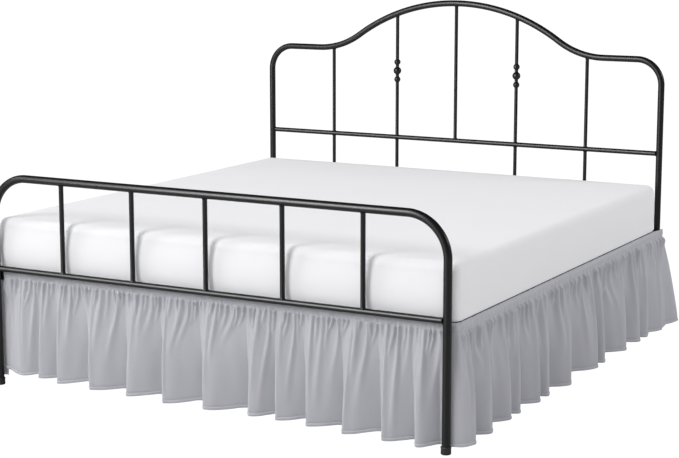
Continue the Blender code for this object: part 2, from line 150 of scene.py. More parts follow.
# Each row is a fold as (place, reach, hollow, wander). Its crest hangs at "place" along the band. At the hem
# the crest stands "reach" out of the band and the hollow after it stands "hollow" out. On its way down the
# crest wanders sideways by "wander".
FOOT_FOLDS = (
    (-0.826, 0.036, 0.000, 0.010),
    (-0.750, 0.036, -0.003, -0.006),
    (-0.654, 0.044, -0.014, 0.008),
    (-0.498, 0.051, -0.016, 0.014),
    (-0.332, 0.052, -0.015, -0.010),
    (-0.168, 0.053, -0.018, 0.012),
    (0.006, 0.055, -0.020, 0.006),
    (0.192, 0.049, -0.005, -0.012),
    (0.302, 0.043, -0.010, 0.008),
    (0.428, 0.047, -0.012, 0.010),
    (0.572, 0.049, -0.014, -0.012),
    (0.726, 0.047, -0.008, 0.010),
    (0.848, 0.042, -0.010, 0.006),
)
RIGHT_FOLDS = (
    (1.028, 0.034, -0.018, 0.004),
    (1.160, 0.040, -0.024, 0.008),
    (1.334, 0.034, -0.006, 0.012),
    (1.422, 0.030, -0.018, -0.006),
    (1.598, 0.035, -0.016, 0.010),
    (1.684, 0.038, -0.026, 0.006),
    (1.874, 0.046, -0.032, -0.012),
    (2.174, 0.045, -0.012, 0.014),
    (2.266, 0.040, -0.030, 0.008),
    (2.502, 0.046, -0.030, -0.008),
    (2.700, 0.040, -0.008, 0.012),
    (2.804, 0.034, 0.012, 0.006),
    (2.962, 0.042, 0.030, 0.014),
)
LEFT_FOLDS = (               # mirrored, so these places count to the left
    (1.032, 0.034, -0.016, 0.004),
    (1.182, 0.042, -0.022, -0.010),
    (1.299, 0.032, -0.014, 0.008),
    (1.455, 0.040, -0.026, 0.012),
    (1.649, 0.046, -0.024, -0.008),
    (1.765, 0.034, -0.014, 0.006),
    (1.911, 0.038, -0.022, 0.010),
    (2.073, 0.044, -0.028, -0.012),
    (2.275, 0.046, -0.020, 0.012),
    (2.389, 0.034, -0.016, 0.008),
    (2.561, 0.042, -0.028, -0.006),
    (2.771, 0.044, -0.022, 0.012),
    (2.960, 0.040, 0.026, 0.014),
)
FOOT_LEAN = 0.80             # share of the way to the next crest at which the hollow lies, at the hem
SIDE_LEAN = 0.50
LEAN_AT_BAND = 0.75          # how much of that lean, away from halfway, shows at the band
WANDER_BEND = 1.3            # above 1 the cloth goes sideways more in its lower part
CREASED = 0.75               # how far a fold's hollow is a crease with full shoulders
CREASED_BY = 0.5             # share of the drop by which it is
CREASE = 1.8                 # how full the shoulders are
CREST_AT_HEM = 1.25          # how narrow the crests are
CREST_AT_BAND = 2.25
CREST_BEND = 1.5             # above 1 they widen soon below the band
FOLD_GROWTH = 1.8            # how soon below the band the folds reach their size

CLOTH_THICKNESS = 0.0009
HEM_THICKNESS = 0.0024
HEM_DEPTH = 0.011            # from the stitched line to the hem's edge
HEM_GROOVE = 0.0011          # depth of the stitched line
HEM_GROOVE_WIDTH = 0.14      # in depths of the hem
HEM_ROLL = 0.0016
HEM_ROLL_FULLNESS = 0.8      # below 1 the roll is fuller than half a wave
COLUMNS = 775                # along a panel
ROWS = 50
ROW_BEND = 1.45              # above 1 the rows lie closer to each other near the seam
TUCKED_ROWS = (-0.010, -0.003)   # shares of the drop, behind the band
STITCH_ROW = 0.0025          # share of the drop from the row over the stitched line
HEM_ROWS = (0.10, 0.22, 0.50, 0.80, 1.0)     # shares of the hem's depth
TUCK = 0.0016                # how far the ruffle's top lies behind the band
TUCK_ENDS = (-0.002, 0.006)  # shares of the drop from which it comes forward, and over which
UNDER_SEAM = 0.03            # where the ridges are read that draw up the band

# Ridges that run down from the seam where the cloth is gathered, as (pitch, depth, width, length, lean).
# "Pitch" is along the band, "depth" how far a ridge stands out, "width" half its width at the seam, "length"
# the share of the drop that it lasts, and "lean" how much of the way to the nearest larger ridge it draws
# over by its end.
RIDGES = {
    "foot": {
        "crests": (None, 0.0080, 0.0068, 1.30, 0.0),
        "middle": (0.0560, 0.0115, 0.0068, 0.78, 0.42),
        "small": (0.0200, 0.0125, 0.0046, 0.26, 0.60),
    },
    "side": {
        "crests": (None, 0.0105, 0.0095, 1.20, 0.0),
        "middle": (0.0950, 0.0165, 0.0095, 0.70, 0.45),
        "small": (0.0400, 0.0180, 0.0068, 0.34, 0.50),
    },
}
# Least and most of a ridge's sizes, as shares of its row's
RIDGE_LENGTHS = (0.55, 1.4)
RIDGE_LEANS = (0.5, 1.5)
RIDGE_WIDTHS = (0.85, 1.2)
RIDGE_DEPTHS = (0.75, 1.2)
RIDGE_PITCHES = (0.66, 1.36)
FIRST_PITCHES = (0.2, 0.6)   # from the panel's edge to the first ridge

RIDGE_WIDENING = 0.9         # from the seam to the ridge's end
RIDGE_HOLD = 1.5             # above 1 a ridge keeps its depth for longer
RIDGE_ENDING = 1.3           # above 1 it ends more softly
RIDGE_CLEARANCE = 0.8        # from a larger ridge, in widths
LEAN_WITH = 0.6              # a larger ridge counts as nearer on the side that ridges lean to
LEAN_AGAINST = 1.4
# Share of its depth that a ridge has at the seam, and share of the drop by which it has all of it
RIDGE_RISE = {"foot": (0.40, 0.014), "side": (0.20, 0.036)}
EDGE_EASE = 0.012            # strip at a panel's edges where ridges come in
POST_CLEAR = 0.968           # run at which a side panel is past the foot post and its ridges begin
POST_EASE = 0.035            # run over which they come in there
HOLLOW = 0.0040              # how far the cloth draws in between the ridges
HOLLOW_BY = 0.02             # share of the drop by which it does
HOLLOW_EASES = (0.05, 0.60)  # shares of the drop from which it fades, and over which
RIPPLE = (0.0011, 0.075)     # size and pitch of slow waves out of the cloth
RIPPLE_GROWTH = 2.2          # how soon below the band they reach their size
SWAY = (0.0012, 0.16)        # size and pitch of slow waves of the hem's height
WAVES = 7                    # ripples that make up slow waves
WAVE_PITCHES = (0.6, 1.9)    # least and most of a ripple's, as shares of the slow waves' pitch
WAVE_SLANTS = (-9.0, 9.0)    # radians from the band to the hem

# How much lower the hem hangs, in metres, by places along the band
HEM_DROPS = {
    "foot": ((-0.93, -0.020), (-0.5, -0.010), (0.3, 0.000), (0.70, 0.010), (0.93, 0.024)),
    "right": ((0.95, 0.011), (1.12, 0.005), (1.3, 0.0), (2.5, 0.0), (2.85, 0.011), (3.1, 0.006)),
    "left": ((-3.1, 0.006), (-2.85, 0.011), (-2.5, 0.0), (-0.95, 0.0)),
}
HOLLOW_LIFT = {"foot": 0.012, "side": 0.004}     # how far the hem draws up in the hollows

BAND_THICKNESS = 0.0014
BAND_ROWS = 12
BAND_TUCK = 0.0004           # from the band's top up to the mattress
BAND_LEAN = {"foot": 0.003, "side": 0.0085}      # how far the band's top draws in
BAND_LEAN_SHARE = 0.4        # share of the band's height that does
BAND_SWELL = 0.0016          # between its two edges
BAND_SWELL_FULLNESS = 0.7    # below 1 the swell is fuller than half a wave
BAND_SETBACK = 0.0006
BAND_STITCH = (0.0007, 0.10, 0.05)               # depth, and place and width in band heights
BAND_WAVE = (0.00024, 0.035)                     # size and pitch of slow waves of its height
HEAD_POST_CLEAR = 0.052      # the band's top doesn't draw in nearer to its end than this
CORNER_CLEAR = 0.93          # run at which the band's top starts to draw in on a side
CLEAR_EASE = 0.04
DRAWN_AT_TOP = 0.0008        # how far the ruffle's ridges draw the band out, at its top and more at the seam
DRAWN_MORE = 0.0020
DRAWN_BEND = 1.3             # above 1 it grows more near the seam
DRAWN_MIDDLE = 0.45          # share of the highest ridge that leaves the band where it is
PUCKER_COARSENESS = {"foot": 1.0, "side": 1.9}
PUCKER_DEEPENING = 0.6       # how much of the coarseness goes into the puckers' depth
PUCKER_FADE = 0.5            # share of the depth lost from the band's top to the seam
FIRST_PUCKER = 0.004         # from the panel's edge
PUCKER_WIDTHS = (0.0026, 0.0040)
PUCKER_SLANTS = (-0.006, 0.006)
PUCKER_DEPTHS = (0.0008, 0.0022)
PUCKER_PITCHES = (0.010, 0.018)

# --- Light and camera ---
CAMERA_PLACE = (3.353, -5.145, 1.756)            # y from the plane of the footboard
CAMERA_TURN = 0.4999         # radians to the left of +Y
CAMERA_DIP = 0.1727          # radians below level
CAMERA_LENS = 92.95          # mm
CAMERA_SENSOR = 36.0
ROOM_LIGHT = 0.54
ROOM_GLOSS = 0.06            # how bright the room looks in the metal
PAPER_WHITE = 1.05           # how bright the room and the floor look to the camera
FLOOR_GREY = 0.62
FLOOR_HALF = 14.0
FLOOR_GAP = 0.0005           # below the feet
LIGHT_TARGET = (0.3, 0.2, 0.4)
# Each light: degrees left of -Y, degrees up, distance, width, height, power
KEY = (22.0, 36.0, 12.0, 4.0, 4.0, 680.0)
RAKE = (66.0, 28.0, 12.0, 2.6, 2.6, 270.0)
SIDE = (-116.0, 24.0, 12.0, 1.6, 1.6, 330.0)
STRIP = (31.0, 22.0, 6.0, 1.6, 4.2, 500.0)


# --- Meshes ---
def new_object(name, points, faces, finish, sharp_above=50.0):
    mesh = bpy.data.meshes.new(name)
    moved = np.asarray(points, float).reshape(-1, 3) + (0.0, FOOTBOARD_Y, 0.0)
    mesh.from_pydata(moved.tolist(), [], faces)
    mesh.materials.append(finish)
    mesh.shade_smooth()
    mesh.set_sharp_from_angle(angle=math.radians(sharp_above))
    made = bpy.data.objects.new(name, mesh)
    bpy.context.scene.collection.objects.link(made)
    return made


def dress(made, node):
    """The piece is part of the one body, stands for a node of the frame and shows a material."""
    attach(made, "root")
    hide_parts(node)


def ring_faces(rings, around):
    """Quads between rings of points, each with as many points as the next, and a face over each end."""
    faces = []
    for ring in range(rings - 1):
        for index in range(around):
            after = (index + 1) % around
            low, high = ring * around, (ring + 1) * around
            faces.append((low + index, low + after, high + after, high + index))
    faces.append(tuple(reversed(range(around))))
    faces.append(tuple((rings - 1) * around + index for index in range(around)))
    return faces


def tube(name, path, radii, sides, finish):
    """A round bar along a path that stays in a plane of constant y, with a radius for each point."""
    turns = 2 * math.pi * np.arange(sides) / sides
    across = np.array((0.0, 1.0, 0.0))
    rings = []
    for index, point in enumerate(path):
        before = path[max(index - 1, 0)]
        after = path[min(index + 1, len(path) - 1)]
        outward = np.array((after - before).normalized().cross(Vector(across)))
        ring = np.outer(np.cos(turns), outward) + np.outer(np.sin(turns), across)
        rings.append(np.array(point) + radii[index] * ring)
    faces = [tuple(reversed(face)) for face in ring_faces(len(path), sides)]
    return new_object(name, rings, faces, finish)


def smooth_step(value):
    value = np.clip(value, 0.0, 1.0)
    return value * value * (3 - 2 * value)


# --- Folds of the cloth ---
class Panel(NamedTuple):
    """A gathered panel and the strip of band over it."""
    side: str
    turns: list              # crests and hollows, as turning_points gives them
    towards: int             # 1 where ridges sooner lean along the band's run, -1 where they lean against it
    overlaps: tuple          # at the panel's start and its end
    seeds: tuple             # of the ruffle and of the band

    @property
    def kind(self):
        return "foot" if self.side == "foot" else "side"

    @property
    def start(self):
        return self.turns[0][1]

    @property
    def end(self):
        return self.turns[-1][1]


def plan_points(run, out):
    """Where runs along the band lie in plan, standing out of the band, as an array of (x, y)."""
    side = np.where(run < 0, -1.0, 1.0)
    run = np.abs(run)
    turn = np.clip((run - STRAIGHT) / BAND_CORNER, 0.0, math.pi / 2)
    reach = BAND_CORNER + out
    x = np.minimum(run, STRAIGHT) + reach * np.sin(turn)
    y = BAND_FOOT_Y + BAND_CORNER - reach * np.cos(turn) + np.maximum(run - STRAIGHT - ARC, 0.0)
    return np.stack((side * x, y), axis=-1)


def turning_points(folds, start, end, lean):
    """Crests and hollows of a panel, in order, as (place at the hem, place at the band, out at the hem)."""
    crests = [(place, place - wander) for place, _, _, wander in folds] + [end[:2]]
    lean_at_band = 0.5 + LEAN_AT_BAND * (lean - 0.5)
    turns = [start]
    for index, (_, reach, hollow, _) in enumerate(folds):
        (hem, top), (after_hem, after_top) = crests[index:index + 2]
        turns.append((hem, top, reach))
        turns.append((hem + lean * (after_hem - hem), top + lean_at_band * (after_top - top), hollow))
    return turns + [end]


def mirror_turns(turns):
    return [(-hem, -top, out) for hem, top, out in reversed(turns)]


def large_folds(turns, tops, down):
    """Runs and standing out of the large folds, for columns at tops along the band and shares of the drop."""
    table = np.array(turns)
    flank = np.clip(np.searchsorted(table[:, 1], tops, side="right") - 1, 0, len(turns) - 2)
    low, high = table[flank], table[flank + 1]
    share = (tops - low[:, 1]) / (high[:, 1] - low[:, 1])
    hem = low[:, 0] + (high[:, 0] - low[:, 0]) * share
    run = tops[:, None] + (hem - tops)[:, None] * down[None, :] ** WANDER_BEND
    wave = 0.5 - 0.5 * np.cos(math.pi * share)[:, None]
    narrow = CREST_AT_HEM + (CREST_AT_BAND - CREST_AT_HEM) * (1.0 - down[None, :]) ** CREST_BEND
    from_crest = (flank % 2 == 1)[:, None]
    weight = np.where(from_crest, 1.0 - (1.0 - wave) ** narrow, wave ** narrow)
    crease = np.where(from_crest, share[:, None] ** CREASE, 1.0 - (1.0 - share[:, None]) ** CREASE)
    creased = CREASED * smooth_step(down / CREASED_BY)[None, :]
    weight = weight + (crease - weight) * creased
    out = low[:, 2:3] + (high[:, 2:3] - low[:, 2:3]) * weight
    return run, out * (1 - (1 - down[None, :]) ** FOLD_GROWTH)


def lean_over(panel, place, larger, amount, down):
    """Path of a ridge that starts at place on the band and draws over towards the nearest larger ridge."""
    table = np.array(panel.turns)
    hem = np.interp(place, table[:, 1], table[:, 0])
    path = place + (hem - place) * down ** WANDER_BEND
    if not larger:
        return path

    def apart(other):
        away = other[0] - path[0]
        return abs(away) * (LEAN_WITH if panel.towards * away > 0 else LEAN_AGAINST)

    nearest = min((other for other, _, _ in larger), key=apart)
    return path + (nearest - path) * amount


def ridge(panel, sizes, place, larger, down, draw):
    """A ridge as its path, half width and how far it stands out, each over shares of the drop."""
    _, depth, width, length, lean = sizes
    share = np.clip(down / (length * draw.uniform(*RIDGE_LENGTHS)), 0.0, 1.0)
    amount = lean * draw.uniform(*RIDGE_LEANS) * smooth_step(share)
    path = lean_over(panel, place, larger, amount, down)
    width = width * draw.uniform(*RIDGE_WIDTHS) * (1.0 + RIDGE_WIDENING * share)
    depth = depth * draw.uniform(*RIDGE_DEPTHS) * (1.0 - share ** RIDGE_HOLD) ** RIDGE_ENDING
    return path, width, depth


def panel_ridges(panel, down, draw):
    """Every ridge of a panel, from the large folds' crests to the small gathers at the seam."""
    rows = RIDGES[panel.kind]
    ridges = [ridge(panel, rows["crests"], top, [], down, draw) for _, top, _ in panel.turns[1:-1:2]]
    for sizes in (rows["middle"], rows["small"]):
        larger = list(ridges)
        pitch, _, width = sizes[:3]
        place = panel.start + pitch * draw.uniform(*FIRST_PITCHES)
        while place < panel.end:
            if min(abs(place - other[0]) for other, _, _ in larger) > RIDGE_CLEARANCE * width:
                ridges.append(ridge(panel, sizes, place, larger, down, draw))
            place += pitch * draw.uniform(*RIDGE_PITCHES)
    return ridges


def ridge_heights(ridges, run):
    """How far the ridges stand out over a grid of runs by down. Where two run together they become one."""
    total = np.zeros_like(run)
    for path, width, depth in ridges:
        near = np.flatnonzero(np.abs(run - path[None, :]).min(axis=1) < 4 * width.max())
        bump = depth[None, :] * np.exp(-((run[near] - path[None, :]) / width[None, :]) ** 2)
        total[near] += bump ** 3
    return np.cbrt(total)


def slow_waves(run, down, draw, size, pitch):
    """Uneven shallow waves over a grid of runs by down, a sum of slanting ripples."""
    waves = np.zeros_like(run)
    for _ in range(WAVES):
        across = 2 * math.pi / (pitch * draw.uniform(*WAVE_PITCHES))
        slant = draw.uniform(*WAVE_SLANTS)
        waves += np.sin(across * run + slant * down[None, :] + draw.uniform(0, 2 * math.pi))
    return size * waves / math.sqrt(WAVES)


# --- Sheets of the cloth ---
def sheet_object(name, middle, thickness, lie, finish):
    """A closed thin sheet about a grid of points (columns, rows, 3), its columns running down the cloth.

    lie gives each point's place on the flat cloth, which the weave follows.
    """
    along = np.gradient(middle, axis=0)
    down = np.gradient(middle, axis=1)
    normal = np.cross(down, along)
    normal /= np.linalg.norm(normal, axis=2, keepdims=True)
    half = normal * np.asarray(thickness)[None, :, None] / 2
    columns, rows = middle.shape[:2]
    count = columns * rows
    index = np.arange(count).reshape(columns, rows)
    corners = index[:-1, :-1], index[:-1, 1:], index[1:, 1:], index[1:, :-1]
    outer = np.stack(corners, axis=-1).reshape(-1, 4)
    inner = outer[:, ::-1] + count

    def rim(line):
        """Quads that join the outer and the inner face along a line of outer points."""
        return np.stack((line[:-1], line[1:], line[1:] + count, line[:-1] + count), axis=-1)

    rims = [rim(index[:, 0]), rim(index[::-1, -1]), rim(index[-1, :]), rim(index[0, ::-1])]
    faces = np.concatenate([outer, inner] + rims).tolist()
    points = np.concatenate(((middle + half).reshape(-1, 3), (middle - half).reshape(-1, 3)))
    made = new_object(name, points, faces, finish, sharp_above=70.0)
    place = made.data.attributes.new("lie", "FLOAT_VECTOR", "POINT")
    flat = np.concatenate([np.dstack((lie, np.zeros((columns, rows)))).reshape(-1, 3)] * 2)
    place.data.foreach_set("vector", flat.astype(np.float32).ravel())
    return made


def down_rows():
    """Shares of the drop at which a ruffle has rows of points, the first of them tucked behind the band."""
    hem = 1.0 - HEM_DEPTH / DROP
    body = hem * (np.linspace(0.0, 1.0, ROWS) ** ROW_BEND)
    edge = hem + (1.0 - hem) * np.array(HEM_ROWS)
    return np.concatenate((TUCKED_ROWS, body[:-1], [hem - STITCH_ROW, hem], edge))


def hem_roll(down):
    """How far the turned hem stands out of the cloth: a stitched groove, then a soft roll."""
    into_hem = (down - 1.0) * DROP / HEM_DEPTH + 1.0
    groove = -HEM_GROOVE * np.exp(-(into_hem / HEM_GROOVE_WIDTH) ** 2)
    roll = HEM_ROLL * np.sin(math.pi * np.clip(into_hem, 0.0, 1.0)) ** HEM_ROLL_FULLNESS
    return groove + np.where(into_hem > 0, roll, 0.0)


def lapped(panel, tops, down):
    """How far a panel's edges move along the band so that they lap with the next panel's."""
    past_start = panel.overlaps[0] * smooth_step(1.0 - (tops - panel.start) / OVERLAP_WIDTH)
    past_end = panel.overlaps[1] * smooth_step(1.0 - (panel.end - tops) / OVERLAP_WIDTH)
    grows_from, grows_over = OVERLAP_GROWS
    return (past_end - past_start)[:, None] * smooth_step((down - grows_from) / grows_over)


def gathers(panel, ridges, tops, down):
    """How far the ridges stand out and the cloth draws in between them, eased at the seam and the edges."""
    at_seam, full_by = RIDGE_RISE[panel.kind]
    rise = at_seam + (1.0 - at_seam) * smooth_step(down / full_by)
    eases_from, eases_over = HOLLOW_EASES
    hollow = HOLLOW * smooth_step(down / HOLLOW_BY) * (1.0 - smooth_step((down - eases_from) / eases_over))
    edge_ease = smooth_step(np.minimum(tops - panel.start, panel.end - tops) / EDGE_EASE)[:, None]
    if panel.kind == "side":
        edge_ease = edge_ease * smooth_step((np.abs(tops) - POST_CLEAR) / POST_EASE)[:, None]
    return (ridges * rise - hollow) * edge_ease


def ruffle_heights(panel, tops, rows, folds, sway):
    """Heights of a ruffle's points, with a hem that hangs unevenly and draws up in the hollows."""
    lower = np.interp(tops, *zip(*HEM_DROPS[panel.side]))
    into_hollow = 1.0 - np.clip(folds / folds.max(), 0.0, 1.0)
    lift = HOLLOW_LIFT[panel.kind] * into_hollow * np.maximum(rows, 0.0)[None, :] ** 2
    return RUFFLE_TOP_Z - (DROP + lower[:, None]) * rows[None, :] + lift + sway


def ruffle(panel, finish):
    """A gathered panel. Returns the runs and heights of its ridges just under the seam."""
    draw = random.Random(panel.seeds[0])
    tops = np.linspace(panel.start, panel.end, COLUMNS)
    rows = down_rows()
    down = np.maximum(rows, 0.0)
    run, folds = large_folds(panel.turns, tops, down)
    ridges = ridge_heights(panel_ridges(panel, down, draw), run)
    under_seam = int(np.searchsorted(rows, UNDER_SEAM))
    seam = run[:, under_seam], ridges[:, under_seam]
    run = run + lapped(panel, tops, down)
    ripple = slow_waves(run, down, draw, *RIPPLE) * smooth_step(down * RIPPLE_GROWTH)[None, :]
    sway = slow_waves(run, down, draw, *SWAY) * down[None, :] ** 3
    tucked_to, comes_forward_over = TUCK_ENDS
    tuck = TUCK * (1.0 - smooth_step((rows - tucked_to) / comes_forward_over))
    out = folds + gathers(panel, ridges, tops, down) + ripple - tuck + hem_roll(down)
    middle = np.dstack((plan_points(run, out), ruffle_heights(panel, tops, rows, folds, sway)))
    thickness = np.where(down > 1.0 - HEM_DEPTH / DROP, HEM_THICKNESS, CLOTH_THICKNESS)
    flat_width = FLAT_WIDTHS[panel.kind]
    along = (tops - panel.start) / (panel.end - panel.start) * flat_width
    lie = np.stack(np.broadcast_arrays(along[:, None], DROP * rows[None, :]), axis=-1)
    made = sheet_object(f"ruffle_{panel.side}_cloth", middle, thickness, lie, finish)
    dress(made, f"ruffle_{panel.side}")
    return seam


def band_puckers(panel, seam, run, share, draw):
    """How far the band stands out over a grid of runs by shares of its height, from its top to the seam."""
    drawn = np.interp(run, *seam)
    drawn = drawn / drawn.max() - DRAWN_MIDDLE
    out = drawn[:, None] * (DRAWN_AT_TOP + DRAWN_MORE * share ** DRAWN_BEND)[None, :]
    coarse = PUCKER_COARSENESS[panel.kind]
    place = panel.start + FIRST_PUCKER
    while place < panel.end:
        width = draw.uniform(*PUCKER_WIDTHS) * coarse
        path = place + draw.uniform(*PUCKER_SLANTS) * coarse * (share - 0.5)
        depth = draw.uniform(*PUCKER_DEPTHS) * coarse ** PUCKER_DEEPENING * (1.0 - PUCKER_FADE * share)
        out += depth[None, :] * np.exp(-((run[:, None] - path[None, :]) / width) ** 2)
        place += draw.uniform(*PUCKER_PITCHES) * coarse
    return out


def band_lean(panel, run, share):
    """How far the band's top draws in over the rail, clear of the head post and the foot corner."""
    drawn_in = smooth_step((BAND_END - HEAD_POST_CLEAR - np.abs(run)) / CLEAR_EASE)
    if panel.kind == "side":
        drawn_in = drawn_in * smooth_step((np.abs(run) - CORNER_CLEAR) / CLEAR_EASE)
    near_top = smooth_step(1.0 - share / BAND_LEAN_SHARE)
    return BAND_LEAN[panel.kind] * drawn_in[:, None] * near_top[None, :]


def band(panel, seam, finish):
    """A strip of the heading band, drawn up by the ridges of the ruffle sewn to it."""
    draw = random.Random(panel.seeds[1])
    run = np.linspace(panel.start, panel.end, COLUMNS)
    share = np.linspace(0.0, 1.0, BAND_ROWS)
    run_grid = np.repeat(run[:, None], BAND_ROWS, axis=1)
    stitch_depth, stitch_place, stitch_width = BAND_STITCH
    swell = BAND_SWELL * np.sin(math.pi * share) ** BAND_SWELL_FULLNESS - BAND_SETBACK
    stitched = stitch_depth * np.exp(-((share - stitch_place) / stitch_width) ** 2)
    out = band_puckers(panel, seam, run, share, draw) + (swell - stitched)[None, :]
    out = out - band_lean(panel, run, share)
    top = MATTRESS_LOW.z - BAND_TUCK
    height = np.broadcast_to(top + (BAND_LOW_Z - top) * share, run_grid.shape)
    wave = slow_waves(run_grid, share, draw, *BAND_WAVE)
    middle = np.dstack((plan_points(run_grid, out), height + wave))
    lie = np.dstack((run_grid, top - height))
    made = sheet_object(f"band_{panel.side}_cloth", middle, np.full(BAND_ROWS, BAND_THICKNESS), lie, finish)
    dress(made, f"band_{panel.side}")


def skirt(cloth):
    free_edge = (BAND_END + FREE_EDGE_SPREAD, BAND_END, FREE_EDGE_OUT)
    side_start = (SPLIT_SIDE, SPLIT_SIDE, 0.0)
    foot_start = (-SPLIT_FOOT, -SPLIT_FOOT, FOOT_EDGE_OUT)
    foot_end = (SPLIT_FOOT, SPLIT_FOOT, FOOT_EDGE_OUT)
    foot = turning_points(FOOT_FOLDS, foot_start, foot_end, FOOT_LEAN)
    right = turning_points(RIGHT_FOLDS, side_start, free_edge, SIDE_LEAN)
    left = mirror_turns(turning_points(LEFT_FOLDS, side_start, free_edge, SIDE_LEAN))
    panels = (
        Panel("foot", foot, -1, (OVERLAP, OVERLAP), (21, 11)),
        Panel("right", right, 1, (OVERLAP, 0.0), (22, 12)),
        Panel("left", left, -1, (0.0, OVERLAP), (23, 13)),
    )
    for panel in panels:
        seam = ruffle(panel, cloth)
        band(panel, seam, cloth)


# --- Mattress ---
def rounded_outline(half_x, half_y, corner, corner_steps, side_steps):
    """Points round a rectangle with round corners about its middle, its straight sides divided too."""
    points = []
    for quarter, (side_x, side_y) in enumerate(((1, 1), (-1, 1), (-1, -1), (1, -1))):
        centre = np.array((side_x * (half_x - corner), side_y * (half_y - corner)))
        for step in range(corner_steps + 1):
            angle = (quarter + step / corner_steps) * math.pi / 2
            points.append(centre + corner * np.array((math.cos(angle), math.sin(angle))))
        after = ((-1, 1), (-1, -1), (1, -1), (1, 1))[quarter]
        angle = (quarter + 1) * math.pi / 2
        ahead = np.array((after[0] * (half_x - corner), after[1] * (half_y - corner)))
        ahead = ahead + corner * np.array((math.cos(angle), math.sin(angle)))
        here = points[-1]
        points += [here + (ahead - here) * step / side_steps for step in range(1, side_steps)]
    return np.array(points)


def mattress_levels(half_x):
    """(height, inset) of each ring of points, from the underside up the walls and in over the top."""
    top, low = MATTRESS_HIGH.z, MATTRESS_LOW.z
    wall_low, wall_high = low + MATTRESS_LOW_EDGE, top - MATTRESS_TOP_EDGE
    levels = [(low, 0.5 * half_x), (low, MATTRESS_LOW_EDGE)]
    for step in range(1, LOW_EDGE_STEPS + 1):
        angle = step / LOW_EDGE_STEPS * math.pi / 2
        inset = MATTRESS_LOW_EDGE * (1 - math.sin(angle))
        levels.append((low + MATTRESS_LOW_EDGE * (1 - math.cos(angle)), inset))
    for step in range(1, WALL_STEPS):
        share = step / WALL_STEPS
        inset = -MATTRESS_SIDE_SWELL * math.sin(math.pi * share)
        levels.append((wall_low + (wall_high - wall_low) * share, inset))
    for step in range(WALL_STEPS + 1):
        angle = step / WALL_STEPS * math.pi / 2
        inset = MATTRESS_TOP_EDGE * (1 - math.cos(angle))
        levels.append((wall_high + MATTRESS_TOP_EDGE * math.sin(angle), inset))
    inset = MATTRESS_TOP_EDGE
    while inset < half_x - TOP_RINGS_END:
        inset += TOP_RING_PITCH
        levels.append((top, inset))
    return levels


def mattress_ring(z, inset, half_x, half_y):
    """Points of one ring about the mattress's middle, crowned on top and swollen at the foot."""
    corner = max(MATTRESS_CORNER - inset, MATTRESS_TOP_CORNER)
    steps = (OUTLINE_CORNER_STEPS, OUTLINE_SIDE_STEPS)
    x, y = rounded_outline(half_x - inset, half_y - inset, corner, *steps).T
    heights = np.full(len(x), z)
    if z == MATTRESS_HIGH.z:
        near_middle = (1 - (x / half_x) ** 4) * (1 - (y / half_y) ** 4)
        heights = heights + MATTRESS_CROWN * np.clip(near_middle, 0, 1)
    if inset < FOOT_SWELL_INSET:
        level = (z - MATTRESS_LOW.z) / (MATTRESS_HIGH.z - MATTRESS_LOW.z)
        swell = MATTRESS_FOOT_SWELL * math.sin(math.pi * min(level * FOOT_SWELL_SPREAD, 1.0))
        y = y - swell * np.clip(-(y + half_y - MATTRESS_CORNER) / MATTRESS_CORNER, 0.0, 1.0)
    return np.column_stack((x, y, heights))


def mattress(finish):
    half_x, half_y = (MATTRESS_HIGH.x - MATTRESS_LOW.x) / 2, (MATTRESS_HIGH.y - MATTRESS_LOW.y) / 2
    middle_y = (MATTRESS_HIGH.y + MATTRESS_LOW.y) / 2 - FOOTBOARD_Y
    levels = mattress_levels(half_x)
    rings = [mattress_ring(z, inset, half_x, half_y) + (0.0, middle_y, 0.0) for z, inset in levels]
    faces = ring_faces(len(rings), len(rings[0]))
    made = new_object("mattress_cover", rings, faces, finish, sharp_above=80.0)
    dress(made, "mattress")


# --- Footboard and headboard ---
def arc_points(centre_x, centre_z, radius, start, end, steps):
    angles = (start + (end - start) * step / steps for step in range(steps + 1))
    return [(centre_x + radius * math.cos(a), centre_z + radius * math.sin(a)) for a in angles]


def mirrored_path(half, y):
    """A path from the left post's foot to the right one's, from points up the right half to the middle."""
    left = [(-x, z) for x, z in half]
    right = [point for point in reversed(half) if point[0] > 1e-6]
    return [Vector((x, y, z)) for x, z in left + right]


def foot_hoop_half():
    side, corner = FOOT_POSTS / 2, FOOT_CORNER
    bend = arc_points(side - corner, FOOT_TOP_Z - corner, corner, 0.0, math.pi / 2, WIDE_BEND_STEPS)
    return [(side, CAP_HEIGHT)] + bend


def head_arch_half():
    """A corner, then an arc that turns up and a crown that turns back as much, so that they meet in line."""
    side = HEAD_POSTS / 2
    up, turn = math.pi / 2, 2 * math.atan((HEAD_PEAK_Z - HEAD_SHOULDER_Z) / HEAD_ARCH_HALF)
    foot_radius = HEAD_ARCH_HALF / math.sin(turn) - HEAD_CROWN_RADIUS
    corner = arc_points(side - HEAD_CORNER, HEAD_SHOULDER_Z - HEAD_CORNER, HEAD_CORNER, 0.0, up, BEND_STEPS)
    foot = arc_points(HEAD_ARCH_HALF, HEAD_SHOULDER_Z + foot_radius, foot_radius, -up, -up - turn, BEND_STEPS)
    crown_z = HEAD_PEAK_Z - HEAD_CROWN_RADIUS
    crown = arc_points(0.0, crown_z, HEAD_CROWN_RADIUS, up - turn, up, WIDE_BEND_STEPS)
    return [(side, CAP_HEIGHT)] + corner + foot + crown[1:]


def arch_height(x):
    """Height of the arch tube's middle line over x."""
    path = sorted((px, pz) for px, pz in head_arch_half() if pz >= HEAD_SHOULDER_Z - 1e-9)
    return float(np.interp(abs(x), [p[0] for p in path], [p[1] for p in path]))


def bent_tube(node, half, y, radius, metal):
    path = mirrored_path(half, y)
    dress(tube(f"{node}_tube", path, [radius] * len(path), TUBE_SIDES, metal), node)


